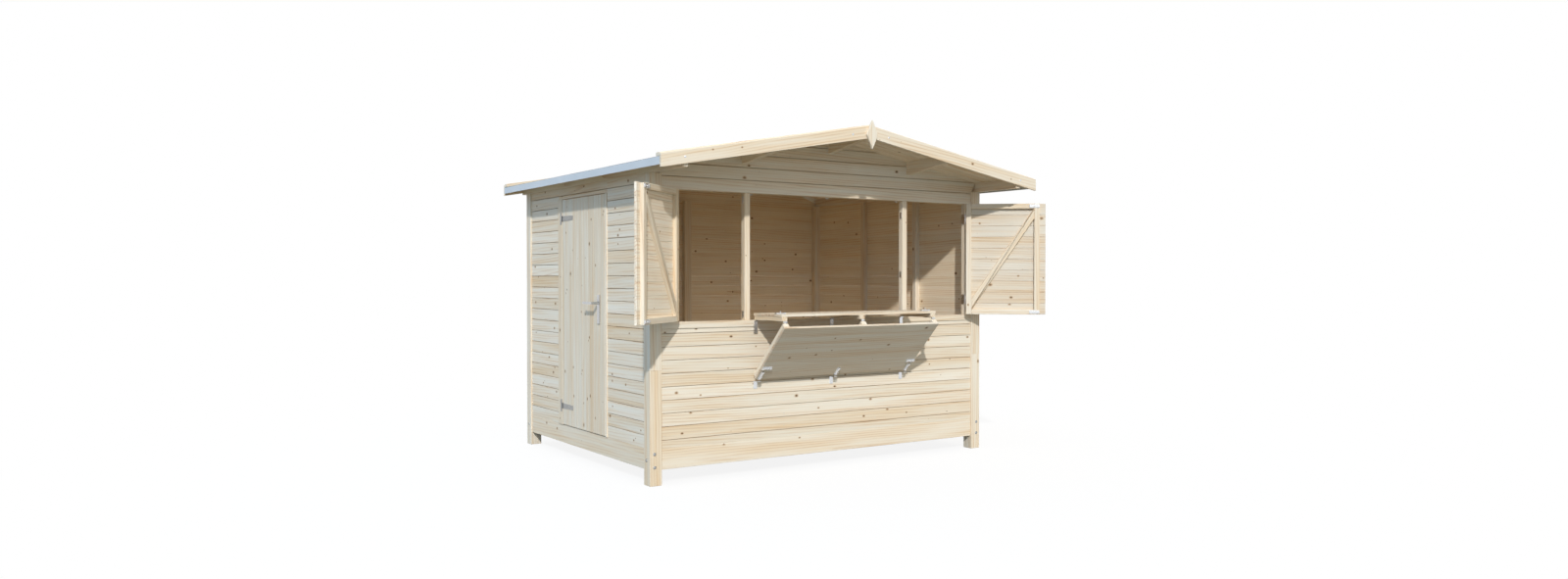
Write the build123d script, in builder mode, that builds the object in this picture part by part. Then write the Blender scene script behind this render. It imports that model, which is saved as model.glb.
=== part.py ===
from build123d import *
import math
import os

# A wooden market stall: a post-and-board cabin on four corner posts, with a low gable roof, a side
# door, two side-hung shutters and a two-leaf counter shutter that folds out over the front sill.
# Millimetres, +Z up. X runs along the front, Y from the front to the back, and the origin lies on the
# ground at the middle of the stall's reach.

# Cabin
stall_width = 3000.0
stall_depth = 2290.0
post_width = 90.0
post_splice_height = 773.0
wall_thickness = 22.0
wall_recess = 10.0
frame_recess = 2.0
stud_width = 45.0
back_stud_width = 70.0
right_stud_shares = (0.32, 0.64)
joint_gap = 0.4

# Base and floor
foot_height = 104.0
base_height = 140.0
base_thickness = 45.0
floor_thickness = 22.0
joist_thickness = 45.0
joist_count = 5

# Front opening
sill_top = 1095.0
sill_height = 45.0
sill_depth = 70.0
lintel_drop = 102.0
lintel_height = 70.0
jamb_width = 70.0
mullion_width = 45.0
mullion_recess = 24.0
mullion_inset = 755.0

# Side door
door_front = 725.0
door_width = 790.0
door_clearance = 6.0
door_height = 1750.0
over_door_height = 89.0
door_board = 18.0
door_ledge_height = 90.0
door_ledge_thickness = 22.0
door_ledge_inset = 40.0
door_ledge_gap = 15.0
door_post_front_width = 24.0
door_post_back_width = 79.0
door_brace_width = 80.0

# Roof
roof_rise_share = 0.179
eave_reach = 155.0
eave_rise = 55.0
deck_thickness = 18.0
felt_thickness = 4.0
front_overhang = 468.0
back_overhang = 115.0
barge_height = 88.0
barge_thickness = 18.0
barge_lift = 20.0
lath_width = 55.0
lath_height = 24.0
purlin_width = 45.0
ridge_purlin_height = 110.0
mid_purlin_height = 95.0
mid_purlin_offset = 750.0
purlin_tail_height = 40.0
plate_width = 45.0
finial_width = 98.0
finial_rise = 59.0
finial_height = 207.0
finial_thickness = 18.0
eave_trim_height = 50.0
eave_trim_sheet = 2.0

# Side shutters
shutter_clearance = 5.0
shutter_board = 16.0
shutter_frame_thickness = 28.0
shutter_stile_width = 42.0
shutter_rail_height = 40.0
shutter_brace_width = 42.0
shutter_edge_margin = 3.0
shutter_stile_clearance = 8.0
shutter_rest_angle = 140.0

# Folding counter shutter
leaf_board = 17.0
leaf_batten_thickness = 29.0
leaf_batten_width = 45.0
leaf_end_clearance = 7.0
counter_depth = 355.0
brace_length = 525.0
fold_gap = 6.0
fold_rest_angle = 135.0
batten_edge_margin = 4.0

# Hinges, bolts, handle and catches
knuckle_radius = 6.0
pin_radius = 3.0
pin_clearance = 0.05
leaf_sheet = 3.0
leaf_bite = 1.0
knuckle_gap = 0.3
hinge_middle_share = 0.4
shutter_hinge_length = 80.0
shutter_hinge_reach = 38.0
shutter_hinge_inset = 120.0
counter_hinge_length = 30.0
counter_hinge_drop = 90.0
counter_hinge_reach = 120.0
door_hinge_length = 95.0
door_hinge_plate = 34.0
door_hinge_strap = 215.0
door_hinge_strap_width = 42.0
door_hinge_tip_width = 32.0
door_hinge_inset = 145.0
bolt_length = 80.0
bolt_width = 28.0
bolt_plate = 2.5
bolt_bar_width = 14.0
bolt_bar_thickness = 5.0
bolt_guide_length = 16.0
bolt_knob_radius = 3.5
bolt_knob_length = 14.0
bolt_edge_inset = 75.0
handle_plate_height = 210.0
handle_plate_width = 40.0
handle_plate_thickness = 8.0
handle_edge_inset = 95.0
handle_height = 1165.0
lever_above_middle = 45.0
lever_reach = 150.0
lever_height = 18.0
lever_neck_width = 18.0
lever_grip_thickness = 12.0
lever_standoff = 55.0
lever_plate_gap = 3.0
lever_rounding = 5.0
spindle_radius = 6.0
spindle_clearance = 1.0
catch_width = 30.0
catch_leg = 56.0
catch_arm = 58.0
catch_sheet = 3.0
catch_drop = 427.0
catch_slot_width = 18.0
catch_slot_depth = 9.0
catch_slot_reach = 45.0

# Derived places: the outer faces of the cabin, in the stall's own frame
half_width = stall_width / 2
roof_front_reach = front_overhang + finial_thickness
roof_back_reach = back_overhang + finial_thickness
front_face = (roof_front_reach - roof_back_reach - stall_depth) / 2
back_face = front_face + stall_depth
base_top = foot_height + base_height
post_inner = half_width - post_width
wall_outer = half_width - wall_recess
wall_inner = wall_outer - wall_thickness
front_wall_outer = front_face + wall_recess
front_wall_inner = front_wall_outer + wall_thickness
back_wall_outer = back_face - wall_recess
back_wall_inner = back_wall_outer - wall_thickness
frame_front = front_face + frame_recess
frame_side = half_width - frame_recess
doorway_top = base_top + door_clearance + door_height + door_clearance
wall_top = doorway_top + over_door_height
lintel_bottom = wall_top - lintel_drop
eave_x = half_width + eave_reach
ridge_top = wall_top + eave_rise + eave_x * roof_rise_share
pin_offset = knuckle_radius + leaf_sheet - leaf_bite
sides = {"left": -1, "right": 1}


def roof_height(x, drop=0.0):
    """Height of the roof deck's top at a distance from the ridge, less a drop."""
    return ridge_top - abs(x) * roof_rise_share - drop


def span(a, b):
    """A low and high pair, whichever way round its ends are given."""
    return min(a, b), max(a, b)


def timber(xs, ys, zs, frame=Plane.XY):
    """Add a straight timber that fills three (low, high) spans of a frame."""
    with BuildSketch(frame.offset(zs[0])) as section:
        with Locations(((xs[0] + xs[1]) / 2, (ys[0] + ys[1]) / 2)):
            Rectangle(xs[1] - xs[0], ys[1] - ys[0])
    extrude(section.sketch, amount=zs[1] - zs[0])


def slice_across(points, y_low, y_high):
    """Add a prism with an outline in X and Z, between two places along Y."""
    with BuildSketch(Plane.XZ.offset(-y_low)) as outline:
        with BuildLine():
            Polyline(*points, close=True)
        make_face()
    extrude(outline.sketch, amount=-(y_high - y_low))


def panel_strut(start, end, width, depths, frame):
    """Add a slanting strut on a panel from one inner corner to the opposite one, cut upright at its ends."""
    run, rise = end[0] - start[0], end[1] - start[1]
    cut = math.copysign(width * math.hypot(run, rise) / abs(run), rise)
    face = Plane(frame.origin, x_dir=frame.x_dir, z_dir=-frame.y_dir)
    with BuildSketch(face.offset(-depths[0])) as band:
        with BuildLine():
            Polyline(start, (end[0], end[1] - cut), end, (start[0], start[1] + cut), close=True)
        make_face()
    extrude(band.sketch, amount=depths[0] - depths[1])


def fixed_hinge(frame, length, reach, height=None):
    """Add a hinge's fixed half: its plate, the two end knuckles and the pin between them."""
    height = height or length
    end_length = length * (1 - hinge_middle_share) / 2
    mount = (knuckle_radius - leaf_bite, knuckle_radius - leaf_bite + leaf_sheet)
    timber((knuckle_radius + leaf_bite, reach), mount, (-height / 2, height / 2), frame)
    for low in (-length / 2, length / 2 - end_length):
        timber((0, knuckle_radius + leaf_bite), mount, (low, low + end_length), frame)
        with BuildSketch(frame.offset(low)) as knuckle:
            Circle(knuckle_radius)
        extrude(knuckle.sketch, amount=end_length)
    with BuildSketch(frame.offset(-length / 2)) as pin:
        Circle(pin_radius)
    extrude(pin.sketch, amount=length)


def moving_hinge(frame, length, reach, tip_width=None, height=None):
    """Add a hinge's moving half: its strap or plate and the bored middle knuckle."""
    height = height or length
    tip = tip_width or height
    middle = length * hinge_middle_share - 2 * knuckle_gap
    mount = knuckle_radius - leaf_bite
    strap_face = Plane(frame.origin, x_dir=frame.x_dir, z_dir=-frame.y_dir)
    with BuildSketch(strap_face.offset(-mount)) as strap:
        with BuildLine():
            Polyline(
                (knuckle_radius + leaf_bite, -height / 2),
                (reach, -tip / 2),
                (reach, tip / 2),
                (knuckle_radius + leaf_bite, height / 2),
                close=True,
            )
        make_face()
    extrude(strap.sketch, amount=-leaf_sheet)
    timber((0, knuckle_radius + leaf_bite), (mount, mount + leaf_sheet), (-middle / 2, middle / 2), frame)
    with BuildSketch(frame.offset(-middle / 2)) as knuckle:
        Circle(knuckle_radius)
    extrude(knuckle.sketch, amount=middle)
    with BuildSketch(frame.offset(-middle / 2)) as bore:
        Circle(pin_radius + pin_clearance)
    extrude(bore.sketch, amount=middle, mode=Mode.SUBTRACT)


def slide_bolt(frame):
    """Add a drawn-back slide bolt: plate, two guides, flat bar and round knob. X is the way it shoots."""
    bar_top = bolt_plate + bolt_bar_thickness
    guide_half = bolt_bar_width / 2 + bolt_plate
    timber((-bolt_length, 0), (-bolt_width / 2, bolt_width / 2), (0, bolt_plate), frame)
    for start in (-bolt_guide_length, -bolt_length):
        timber((start, start + bolt_guide_length), (-guide_half, guide_half),
               (bolt_plate, bar_top + bolt_plate), frame)
    timber((bolt_guide_length - bolt_length, -bolt_guide_length), (-bolt_bar_width / 2, bolt_bar_width / 2),
           (bolt_plate, bar_top), frame)
    with BuildSketch(frame.offset(bar_top)) as knob:
        with Locations((-bolt_length / 2, 0)):
            Circle(bolt_knob_radius)
    extrude(knob.sketch, amount=bolt_knob_length)


def save(piece, name):
    """Label a finished sub-part and write it as its own file."""
    piece.label = name
    export_step(piece, f"parts/{name}.step")


os.makedirs("parts", exist_ok=True)

# Corner posts, each in two lengths
post_spots = [
    (span(side * post_inner, side * half_width), ys)
    for side in sides.values()
    for ys in ((front_face, front_face + post_width), (back_face - post_width, back_face))
]

with BuildPart() as corner_posts_lower:
    for xs, ys in post_spots:
        timber(xs, ys, (0, post_splice_height))
save(corner_posts_lower.part, "corner_posts_lower")

with BuildPart() as corner_posts_upper:
    for xs, ys in post_spots:
        timber(xs, ys, (post_splice_height, wall_top))
save(corner_posts_upper.part, "corner_posts_upper")

# Base beams between the posts, joists and floor
base_back_inner = back_wall_outer - base_thickness
base_front_inner = front_wall_outer + base_thickness
base_side_inner = wall_outer - base_thickness

with BuildPart() as base_beams:
    for ys in ((front_wall_outer, base_front_inner), (base_back_inner, back_wall_outer)):
        timber((-post_inner, post_inner), ys, (foot_height, base_top))
    for side in sides.values():
        timber(span(side * base_side_inner, side * wall_outer),
               (front_face + post_width, back_face - post_width), (foot_height, base_top))
save(base_beams.part, "base_beams")

joist_pitch = 2 * base_side_inner / (joist_count + 1)
with BuildPart() as floor_joists:
    for index in range(joist_count):
        middle = (index + 1) * joist_pitch - base_side_inner
        timber((middle - joist_thickness / 2, middle + joist_thickness / 2),
               (base_front_inner, base_back_inner), (foot_height, base_top - floor_thickness))
save(floor_joists.part, "floor_joists")

with BuildPart() as floor:
    with BuildSketch(Plane.XY.offset(base_top - floor_thickness)) as floor_plan:
        with Locations((0, (base_front_inner + base_back_inner) / 2)):
            Rectangle(2 * base_side_inner, base_back_inner - base_front_inner)
        for xs, ys in post_spots:
            with Locations(((xs[0] + xs[1]) / 2, (ys[0] + ys[1]) / 2)):
                Rectangle(post_width, post_width, mode=Mode.SUBTRACT)
    extrude(amount=floor_thickness)
save(floor.part, "floor")

# Front wall: boards below the sill, the sill, jambs, mullions and lintel
with BuildPart() as front_wall:
    timber((-post_inner, post_inner), (front_wall_outer, front_wall_inner),
           (base_top, sill_top - sill_height))
save(front_wall.part, "front_wall")

with BuildPart() as counter_sill:
    timber((-post_inner, post_inner), (frame_front, frame_front + sill_depth),
           (sill_top - sill_height, sill_top))
save(counter_sill.part, "counter_sill")

opening_heights = (sill_top, lintel_bottom)
with BuildPart() as front_jambs:
    for side in sides.values():
        timber(span(side * post_inner, side * (post_inner - jamb_width)),
               (frame_front, frame_front + stud_width), opening_heights)
save(front_jambs.part, "front_jambs")

mullion_outer = half_width - mullion_inset
mullion_front = front_face + mullion_recess
with BuildPart() as front_mullions:
    for side in sides.values():
        timber(span(side * mullion_outer, side * (mullion_outer - mullion_width)),
               (mullion_front, mullion_front + stud_width), opening_heights)
save(front_mullions.part, "front_mullions")

with BuildPart() as front_lintel:
    timber((-post_inner, post_inner), (front_wall_inner, front_wall_inner + stud_width),
           (lintel_bottom, lintel_bottom + lintel_height))
save(front_lintel.part, "front_lintel")

# Roof timbers that run from the front bargeboards to the back ones
barge_front = front_face - front_overhang
barge_back = back_face + back_overhang
roof_front = barge_front + barge_thickness
roof_back = barge_back - barge_thickness
half_purlin = purlin_width / 2
ridge_outline = [
    (-half_purlin, roof_height(half_purlin, deck_thickness) - ridge_purlin_height),
    (half_purlin, roof_height(half_purlin, deck_thickness) - ridge_purlin_height),
    (half_purlin, roof_height(half_purlin, deck_thickness)),
    (0, roof_height(0, deck_thickness)),
    (-half_purlin, roof_height(half_purlin, deck_thickness)),
]


def sloped_timber(side, inner, outer, bottom):
    """Outline of a timber under the deck, flat below and bevelled to the slope above."""
    return [
        (side * inner, bottom),
        (side * outer, bottom),
        (side * outer, roof_height(outer, deck_thickness)),
        (side * inner, roof_height(inner, deck_thickness)),
    ]


mid_inner = mid_purlin_offset - half_purlin
mid_outer = mid_purlin_offset + half_purlin
mid_bottom = roof_height(mid_outer, deck_thickness) - mid_purlin_height
mid_outlines = [sloped_timber(side, mid_inner, mid_outer, mid_bottom) for side in sides.values()]
plate_outlines = [
    sloped_timber(side, half_width - plate_width, half_width, wall_top) for side in sides.values()
]


def purlin(outline):
    """Add a purlin whose tails slant from full height at the end walls to a low end at the bargeboards."""
    slice_across(outline, roof_front, roof_back)
    left, right = span(outline[0][0], outline[1][0])
    bottom, top = sorted({height for _, height in outline})[:2]
    for wall, tip in ((front_wall_outer, roof_front), (back_wall_outer, roof_back)):
        with BuildSketch(Plane.YZ.offset(left)) as slant:
            with BuildLine():
                Polyline((wall, bottom), (tip, bottom), (tip, top - purlin_tail_height), close=True)
            make_face()
        extrude(slant.sketch, amount=right - left, mode=Mode.SUBTRACT)


with BuildPart() as ridge_purlin:
    purlin(ridge_outline)
save(ridge_purlin.part, "ridge_purlin")

with BuildPart() as mid_purlins:
    for outline in mid_outlines:
        purlin(outline)
save(mid_purlins.part, "mid_purlins")

with BuildPart() as wall_plates:
    for outline in plate_outlines:
        slice_across(outline, roof_front, roof_back)
save(wall_plates.part, "wall_plates")


def gable_outline(bottom):
    """Outline of a boarded end wall between the posts, up to the deck and round the roof timbers."""
    shoulder = half_width - plate_width
    return [
        (-post_inner, bottom),
        (post_inner, bottom),
        (post_inner, wall_top),
        (shoulder, wall_top),
        (shoulder, roof_height(shoulder, deck_thickness)),
        (0, roof_height(0, deck_thickness)),
        (-shoulder, roof_height(shoulder, deck_thickness)),
        (-shoulder, wall_top),
        (-post_inner, wall_top),
    ]


def gable_wall(bottom, y_low, y_high):
    """Add an end wall and cut it where the ridge and mid purlins pass through."""
    slice_across(gable_outline(bottom), y_low, y_high)
    for outline in (ridge_outline, *mid_outlines):
        with BuildSketch(Plane.XZ.offset(-y_low)) as notch:
            with BuildLine():
                Polyline(*outline, close=True)
            make_face()
        extrude(notch.sketch, amount=-(y_high - y_low), mode=Mode.SUBTRACT)


with BuildPart() as front_gable:
    gable_wall(lintel_bottom, front_wall_outer, front_wall_inner)
save(front_gable.part, "front_gable")

with BuildPart() as back_wall:
    gable_wall(base_top, back_wall_inner, back_wall_outer)
save(back_wall.part, "back_wall")

# Side walls, the left one beside and over its doorway
door_back = door_front + door_width
doorway_front = front_face + door_front - door_clearance
doorway_back = front_face + door_back + door_clearance
left_wall_xs = (-wall_outer, -wall_inner)
post_front_edge = doorway_front - door_post_front_width
post_back_edge = doorway_back + door_post_back_width

with BuildPart() as left_wall_front:
    timber(left_wall_xs, (front_face + post_width, post_front_edge), (base_top, wall_top))
save(left_wall_front.part, "left_wall_front")

with BuildPart() as left_wall_back:
    timber(left_wall_xs, (post_back_edge, back_face - post_width), (base_top, wall_top))
save(left_wall_back.part, "left_wall_back")

with BuildPart() as left_wall_over_door:
    timber(left_wall_xs, (post_front_edge, post_back_edge), (doorway_top, wall_top))
save(left_wall_over_door.part, "left_wall_over_door")

with BuildPart() as door_posts:
    for ys in ((post_front_edge, doorway_front), (doorway_back, post_back_edge)):
        timber((-frame_side, -frame_side + stud_width), ys, (base_top, doorway_top))
save(door_posts.part, "door_posts")

with BuildPart() as right_wall:
    timber((wall_inner, wall_outer), (front_face + post_width, back_face - post_width), (base_top, wall_top))
save(right_wall.part, "right_wall")

# Studs inside the back and right walls
with BuildPart() as wall_studs:
    timber((-back_stud_width / 2, back_stud_width / 2),
           (back_wall_inner - stud_width, back_wall_inner), (base_top, wall_top))
    for share in right_stud_shares:
        stud_y = front_face + share * stall_depth
        timber((wall_inner - stud_width, wall_inner),
               (stud_y - stud_width / 2, stud_y + stud_width / 2), (base_top, wall_top))
save(wall_studs.part, "wall_studs")

# Roof: deck, felt, eave trims, edge laths, bargeboards and finials
for name, side in sides.items():
    with BuildPart() as roof_deck:
        slice_across([
            (0, roof_height(0)),
            (side * eave_x, roof_height(eave_x)),
            (side * eave_x, roof_height(eave_x, deck_thickness)),
            (0, roof_height(0, deck_thickness)),
        ], roof_front, roof_back)
    save(roof_deck.part, f"roof_deck_{name}")

    with BuildPart() as roof_felt:
        slice_across([
            (0, roof_height(0)),
            (side * eave_x, roof_height(eave_x)),
            (side * eave_x, roof_height(eave_x, -felt_thickness)),
            (0, roof_height(0, -felt_thickness)),
        ], roof_front, roof_back)
    save(roof_felt.part, f"roof_felt_{name}")

with BuildPart() as eave_trims:
    for side in sides.values():
        slice_across([
            (side * eave_x, roof_height(eave_x)),
            (side * (eave_x + eave_trim_sheet), roof_height(eave_x)),
            (side * (eave_x + eave_trim_sheet), roof_height(eave_x) - eave_trim_height),
            (side * eave_x, roof_height(eave_x) - eave_trim_height),
        ], roof_front, roof_back)
save(eave_trims.part, "eave_trims")

with BuildPart() as roof_laths:
    for side in sides.values():
        for ys in ((roof_front, roof_front + lath_width), (roof_back - lath_width, roof_back)):
            slice_across([
                (side * joint_gap, roof_height(joint_gap, -felt_thickness)),
                (side * eave_x, roof_height(eave_x, -felt_thickness)),
                (side * eave_x, roof_height(eave_x, -felt_thickness - lath_height)),
                (side * joint_gap, roof_height(joint_gap, -felt_thickness - lath_height)),
            ], *ys)
save(roof_laths.part, "roof_laths")

barge_ends = {"front": (barge_front, roof_front), "back": (roof_back, barge_back)}
for end, ys in barge_ends.items():
    with BuildPart() as bargeboards:
        for side in sides.values():
            slice_across([
                (side * joint_gap, roof_height(joint_gap, -barge_lift)),
                (side * eave_x, roof_height(eave_x, -barge_lift)),
                (side * eave_x, roof_height(eave_x, -barge_lift) - barge_height),
                (side * joint_gap, roof_height(joint_gap, -barge_lift) - barge_height),
            ], *ys)
    save(bargeboards.part, f"{end}_bargeboards")

finial_top = ridge_top + finial_rise
finial_middle = finial_top - finial_height / 2
with BuildPart() as finials:
    for ys in ((barge_front - finial_thickness, barge_front), (barge_back, barge_back + finial_thickness)):
        slice_across([
            (0, finial_top),
            (finial_width / 2, finial_middle),
            (0, finial_top - finial_height),
            (-finial_width / 2, finial_middle),
        ], *ys)
save(finials.part, "finials")

# Side shutters, each built in a frame on its hinge pin and set at its rest angle
shutter_pin_x = post_inner - jamb_width - pin_offset / 2
shutter_pin_y = frame_front - pin_offset
shutter_half = (lintel_bottom - sill_top) / 2 - shutter_clearance
shutter_middle = (lintel_bottom + sill_top) / 2
shutter_width = shutter_pin_x - mullion_outer + mullion_width - shutter_edge_margin
board_depths = (pin_offset, pin_offset + shutter_board)
shutter_frame_depths = (board_depths[1], board_depths[1] + shutter_frame_thickness)
free_stile_edge = shutter_pin_x - mullion_outer - shutter_stile_clearance
stile_inner = shutter_edge_margin + shutter_stile_width
rail_end = free_stile_edge - shutter_stile_width
shutter_heights = (-shutter_half, shutter_half)
hinge_drops = (shutter_hinge_inset - shutter_half, shutter_half - shutter_hinge_inset)

with BuildPart() as shutter_hinge_plates:
    for side in sides.values():
        for drop in hinge_drops:
            fixed_hinge(Plane((side * shutter_pin_x, shutter_pin_y, shutter_middle + drop),
                              x_dir=(side, 0, 0), z_dir=(0, 0, side)),
                        shutter_hinge_length, shutter_hinge_reach)
save(shutter_hinge_plates.part, "shutter_hinge_plates")

for name, side in sides.items():
    opened = math.radians(shutter_rest_angle)
    shutter_frame = Plane((side * shutter_pin_x, shutter_pin_y, shutter_middle),
                          x_dir=(-side * math.cos(opened), -math.sin(opened), 0), z_dir=(0, 0, -side))

    with BuildPart() as shutter_boards:
        timber((shutter_edge_margin, shutter_width), board_depths, shutter_heights, shutter_frame)
    save(shutter_boards.part, f"{name}_shutter_boards")

    with BuildPart() as shutter_ledges:
        for xs in ((shutter_edge_margin, stile_inner), (rail_end, free_stile_edge)):
            timber(xs, shutter_frame_depths, shutter_heights, shutter_frame)
        for low in (-shutter_half, shutter_half - shutter_rail_height):
            timber((stile_inner + joint_gap, rail_end - joint_gap), shutter_frame_depths,
                   (low, low + shutter_rail_height), shutter_frame)
        brace_end = side * (shutter_half - shutter_rail_height - joint_gap)
        panel_strut((stile_inner + joint_gap, brace_end), (rail_end - joint_gap, -brace_end),
                    shutter_brace_width, shutter_frame_depths, shutter_frame)
    save(shutter_ledges.part, f"{name}_shutter_frame")

    with BuildPart() as shutter_fittings:
        for drop in hinge_drops:
            moving_hinge(Plane(shutter_frame.origin + shutter_frame.z_dir * drop, x_dir=shutter_frame.x_dir,
                               z_dir=shutter_frame.z_dir), shutter_hinge_length, shutter_hinge_reach)
        for low in (-shutter_half, shutter_half - shutter_rail_height):
            slide_bolt(Plane(shutter_frame.from_local_coords(
                Vector(free_stile_edge, shutter_frame_depths[1], low + shutter_rail_height / 2)),
                x_dir=shutter_frame.x_dir, z_dir=shutter_frame.y_dir))
    save(shutter_fittings.part, f"{name}_shutter_fittings")

# Folding counter shutter: the counter leaf on the sill hinges, the brace leaf on its front edge
leaf_half = mullion_outer - mullion_width - leaf_end_clearance
leaf_xs = (-leaf_half, leaf_half)
sill_pin_y = frame_front - pin_offset
counter_underside = sill_top + batten_edge_margin
sill_pin_z = counter_underside - pin_offset
counter_back = sill_pin_y + sill_pin_z - sill_top - shutter_clearance
counter_front = counter_back - counter_depth
batten_xs = [
    (-leaf_half + batten_edge_margin, -leaf_half + batten_edge_margin + leaf_batten_width),
    (-leaf_batten_width / 2, leaf_batten_width / 2),
    (leaf_half - batten_edge_margin - leaf_batten_width, leaf_half - batten_edge_margin),
]
batten_middles = [(xs[0] + xs[1]) / 2 for xs in batten_xs]
counter_boards_z = (counter_underside + leaf_batten_thickness,
                    counter_underside + leaf_batten_thickness + leaf_board)

with BuildPart() as counter_hinge_plates:
    for middle in batten_middles:
        fixed_hinge(Plane((middle, sill_pin_y, sill_pin_z), x_dir=(0, 0, -1), z_dir=(1, 0, 0)),
                    counter_hinge_length, counter_hinge_drop)
save(counter_hinge_plates.part, "counter_hinge_plates")

with BuildPart() as counter_top:
    timber(leaf_xs, (counter_front, counter_back), counter_boards_z)
save(counter_top.part, "counter_top")

with BuildPart() as counter_battens:
    for xs in batten_xs:
        timber(xs, (counter_front, counter_back), (counter_underside, counter_boards_z[0]))
save(counter_battens.part, "counter_battens")

fold_pin_y = counter_front - fold_gap / 2
with BuildPart() as counter_fittings:
    for middle in batten_middles:
        moving_hinge(Plane((middle, sill_pin_y, sill_pin_z), x_dir=(0, -1, 0), z_dir=(-1, 0, 0)),
                     counter_hinge_length, counter_hinge_reach)
        fixed_hinge(Plane((middle, fold_pin_y, sill_pin_z), x_dir=(0, 1, 0), z_dir=(1, 0, 0)),
                    counter_hinge_length, counter_hinge_drop)
    for side in sides.values():
        slide_bolt(Plane((side * leaf_half, counter_front + bolt_edge_inset, counter_boards_z[1]),
                          x_dir=(side, 0, 0), z_dir=(0, 0, 1)))
save(counter_fittings.part, "counter_fittings")

fold = math.radians(fold_rest_angle)
brace_frame = Plane((0, fold_pin_y, sill_pin_z), x_dir=(-1, 0, 0),
                    z_dir=(0, -math.sin(fold), math.cos(fold)))
brace_along = (fold_gap / 2, fold_gap / 2 + brace_length)
brace_batten_depths = (pin_offset, pin_offset + leaf_batten_thickness)
brace_board_depths = (brace_batten_depths[1], brace_batten_depths[1] + leaf_board)

with BuildPart() as brace_boards:
    timber(leaf_xs, brace_along, brace_board_depths, brace_frame)
save(brace_boards.part, "brace_boards")

with BuildPart() as brace_battens:
    for xs in batten_xs:
        timber(xs, brace_along, brace_batten_depths, brace_frame)
save(brace_battens.part, "brace_battens")

side_bolt_along = brace_along[1] - bolt_length - bolt_edge_inset / 2
with BuildPart() as brace_fittings:
    for middle in batten_middles:
        moving_hinge(Plane((middle, fold_pin_y, sill_pin_z), x_dir=brace_frame.y_dir, z_dir=(-1, 0, 0)),
                     counter_hinge_length, counter_hinge_drop)
        slide_bolt(Plane(brace_frame.from_local_coords(
            Vector(-middle, brace_along[1], brace_board_depths[1])),
            x_dir=brace_frame.y_dir, z_dir=brace_frame.z_dir))
    for side in sides.values():
        slide_bolt(Plane(brace_frame.from_local_coords(
            Vector(side * leaf_half, side_bolt_along, brace_board_depths[1])),
            x_dir=brace_frame.x_dir * side, z_dir=brace_frame.z_dir))
save(brace_fittings.part, "brace_fittings")

catch_top = sill_pin_z - catch_drop
with BuildPart() as brace_catches:
    for middle in batten_middles:
        xs = (middle - catch_width / 2, middle + catch_width / 2)
        timber(xs, (front_wall_outer - catch_sheet, front_wall_outer), (catch_top - catch_leg, catch_top))
        timber(xs, (front_wall_outer - catch_arm, front_wall_outer), (catch_top - catch_sheet, catch_top))
        with BuildSketch(Plane.XY.offset(catch_top)) as bolt_slot:
            with Locations((middle, front_wall_outer - catch_slot_reach)):
                Rectangle(catch_slot_width, catch_slot_depth)
        extrude(bolt_slot.sketch, amount=-catch_sheet, mode=Mode.SUBTRACT)
save(brace_catches.part, "brace_catches")

# Side door, built in a frame on its hinge pin with X towards the handle edge
door_pin = (-frame_side - pin_offset, front_face + door_back + door_clearance / 2, 0)
door_frame = Plane(door_pin, x_dir=(0, -1, 0), z_dir=(0, 0, 1))
door_along = (door_clearance / 2, door_clearance / 2 + door_width)
door_bottom = base_top + door_clearance
door_heights = (door_bottom, door_bottom + door_height)
door_board_depths = (pin_offset, pin_offset + door_board)
door_ledge_depths = (door_board_depths[1], door_board_depths[1] + door_ledge_thickness)
door_hinge_heights = (door_heights[0] + door_hinge_inset, door_heights[1] - door_hinge_inset)
handle_along = door_along[1] - handle_edge_inset
spindle_height = handle_height + lever_above_middle
door_inner_face = door_board_depths[1]

with BuildPart() as door_leaf:
    timber(door_along, door_board_depths, door_heights, door_frame)
    with BuildSketch(Plane(door_frame.from_local_coords(Vector(handle_along, pin_offset, spindle_height)),
                           x_dir=(0, -1, 0), z_dir=(1, 0, 0))) as spindle_hole:
        Circle(spindle_radius + spindle_clearance)
    extrude(spindle_hole.sketch, amount=door_board, mode=Mode.SUBTRACT)
save(door_leaf.part, "door_leaf")

handle_span = (handle_along - handle_plate_width / 2, handle_along + handle_plate_width / 2)
handle_heights = (handle_height - handle_plate_height / 2, handle_height + handle_plate_height / 2)
ledge_along = (door_along[0] + door_ledge_inset, door_along[1] - door_ledge_inset)
ledge_lows = [
    door_hinge_heights[0] - door_ledge_height / 2,
    handle_heights[0] - door_ledge_gap - door_ledge_height,
    door_hinge_heights[1] - door_ledge_height / 2,
]
with BuildPart() as door_ledges:
    for low in ledge_lows:
        timber(ledge_along, door_ledge_depths, (low, low + door_ledge_height), door_frame)
save(door_ledges.part, "door_ledges")

with BuildPart() as door_braces:
    for low, next_low in zip(ledge_lows, ledge_lows[1:]):
        panel_strut((ledge_along[0], low + door_ledge_height), (handle_span[0] - door_ledge_gap, next_low),
                    door_brace_width, door_ledge_depths, door_frame)
save(door_braces.part, "door_braces")

with BuildPart() as door_hinge_plates:
    for height in door_hinge_heights:
        fixed_hinge(Plane((door_pin[0], door_pin[1], height), x_dir=(0, 1, 0), z_dir=(0, 0, -1)),
                    door_hinge_strap_width, door_hinge_plate, door_hinge_length)
save(door_hinge_plates.part, "door_hinge_plates")

with BuildPart() as door_hinge_straps:
    for height in door_hinge_heights:
        moving_hinge(Plane((door_pin[0], door_pin[1], height), x_dir=(0, -1, 0), z_dir=(0, 0, 1)),
                     door_hinge_strap_width, door_hinge_strap, door_hinge_tip_width)
save(door_hinge_straps.part, "door_hinge_straps")

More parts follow.
